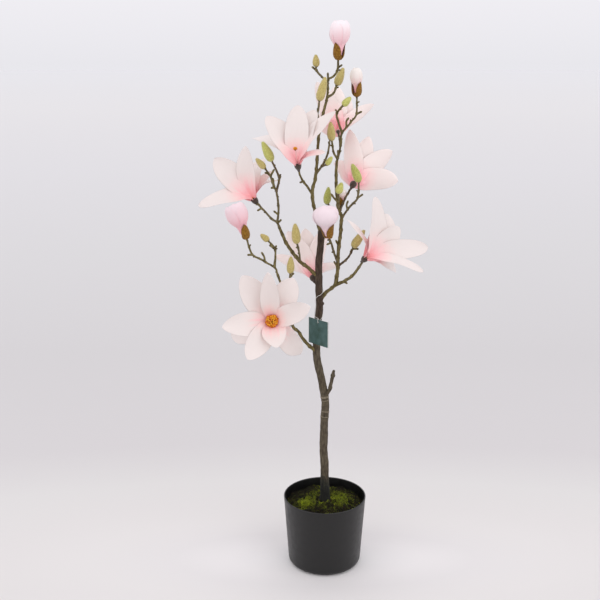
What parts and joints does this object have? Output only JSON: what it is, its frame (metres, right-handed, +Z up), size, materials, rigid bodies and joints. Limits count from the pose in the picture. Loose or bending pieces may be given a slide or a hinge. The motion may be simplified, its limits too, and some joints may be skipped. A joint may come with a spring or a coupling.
{
  "type": "artificial magnolia tree",
  "caption": "Slim artificial magnolia tree with bare forked boughs, silk blossoms, half-open blooms and furry buds, standing in a round pot topped with moss.",
  "frame": {"origin": "centre of the pot's flat underside", "axes": "+Z up along the trunk, +X to the right as seen from the front, -Y towards the front"},
  "size_m": [0.4436, 0.2851, 1.1004],
  "materials": {
    "pot": "satin black moulded plastic",
    "filling": "cast weight, dull brown",
    "moss": "dry preserved moss",
    "bark": "moulded bark, matt grey-brown",
    "spray": "silk petals, furry buds and wrapped brown twigs",
    "tag": "dark teal card, blank",
    "thread": "thin white thread"
  },
  "bodies": {
    "root": {"pot": "pot", "pot_filling": "filling", "moss": "moss", "trunk": "bark", "low_bough": "bark", "left_bough": "bark", "right_bough": "bark", "riser_bough": "bark", "leader_bough": "bark", "low_left_spray": "spray", "front_spray": "spray", "left_spray": "spray", "left_bud_spray": "spray", "back_spray": "spray", "right_spray": "spray", "right_bud_spray": "spray", "centre_spray": "spray", "right_upper_spray": "spray", "right_back_spray": "spray", "mid_left_spray": "spray", "mid_spray": "spray", "upper_right_spray": "spray", "upper_left_spray": "spray", "leader_spray": "spray", "tall_bud_spray": "spray", "top_spray": "spray", "tag": "tag", "tag_thread": "thread"}
  },
  "joints": []
}
